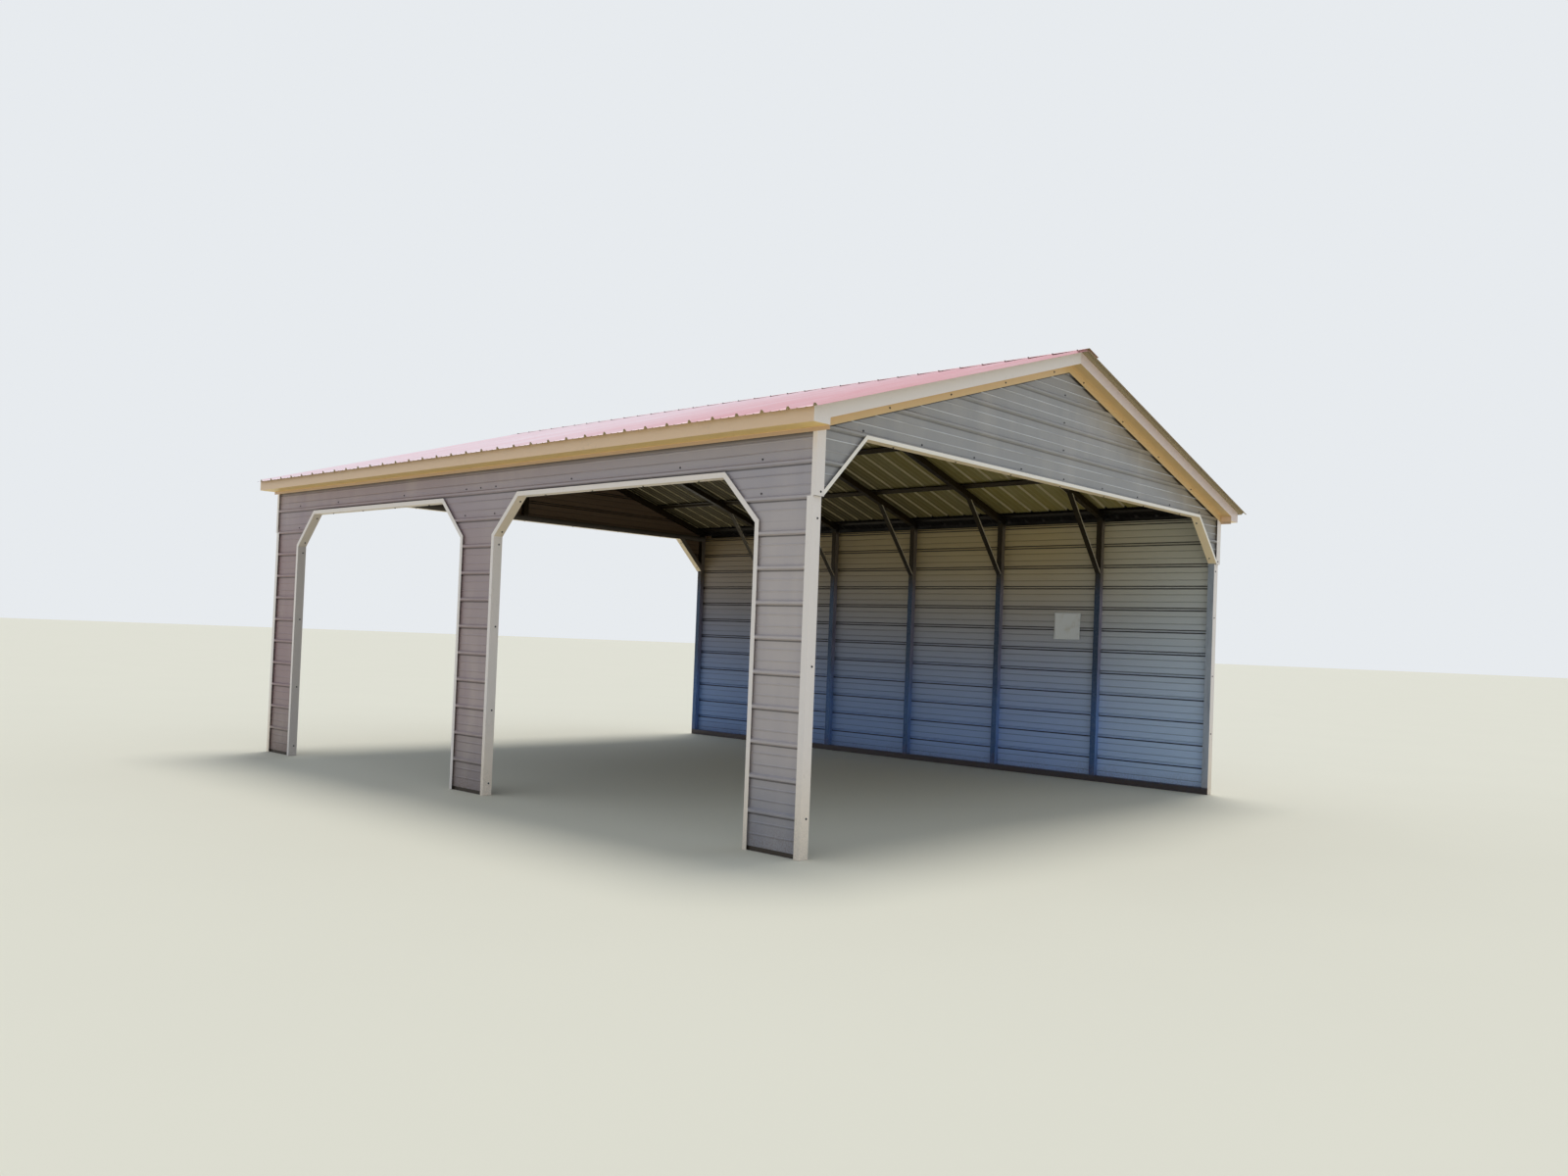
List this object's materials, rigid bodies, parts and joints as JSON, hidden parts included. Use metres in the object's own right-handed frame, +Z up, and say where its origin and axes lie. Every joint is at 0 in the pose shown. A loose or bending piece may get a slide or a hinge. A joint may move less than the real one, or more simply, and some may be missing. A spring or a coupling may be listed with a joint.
{
  "type": "carport",
  "caption": "Free-standing metal carport: tube bows under a gabled ribbed roof, one closed side wall, one side wall with two drive-through openings, and open ends under sheeted gables.",
  "frame": {"origin": "on the ground, below the middle of the roof", "axes": "+Z up, +Y along the ridge towards the rear, +X from the wall with openings to the closed wall"},
  "size_m": [6.6056, 7.925, 3.8723],
  "materials": {
    "galvanised": "galvanised, satin",
    "siding": "satin",
    "roof": "satin",
    "trim": "satin"
  },
  "bodies": {
    "root": {"base_rails": "galvanised", "corner_lower_front_left": "trim", "corner_lower_front_right": "trim", "corner_lower_rear_left": "trim", "corner_lower_rear_right": "trim", "corner_upper_front_left": "trim", "corner_upper_front_right": "trim", "corner_upper_rear_left": "trim", "corner_upper_rear_right": "trim", "eave_left": "trim", "eave_right": "trim", "frame_1": "galvanised", "frame_2": "galvanised", "frame_3": "galvanised", "frame_4": "galvanised", "frame_5": "galvanised", "frame_6": "galvanised", "frame_7": "galvanised", "gable_corners_front": "siding", "gable_corners_rear": "siding", "gable_frame_front": "galvanised", "gable_frame_rear": "galvanised", "gable_front": "siding", "gable_rear": "siding", "gable_trim_front": "trim", "gable_trim_rear": "trim", "opening_frame_front": "galvanised", "opening_frame_rear": "galvanised", "opening_trim_front": "trim", "opening_trim_rear": "trim", "purlins_left": "galvanised", "purlins_right": "galvanised", "rake_front_left": "trim", "rake_front_right": "trim", "rake_rear_left": "trim", "rake_rear_right": "trim", "ridge_cap": "roof", "roof_left": "roof", "roof_right": "roof", "siding_left_corners": "siding", "siding_left_front": "siding", "siding_left_middle": "siding", "siding_left_rear": "siding", "siding_left_top": "siding", "siding_right": "siding"}
  },
  "joints": []
}
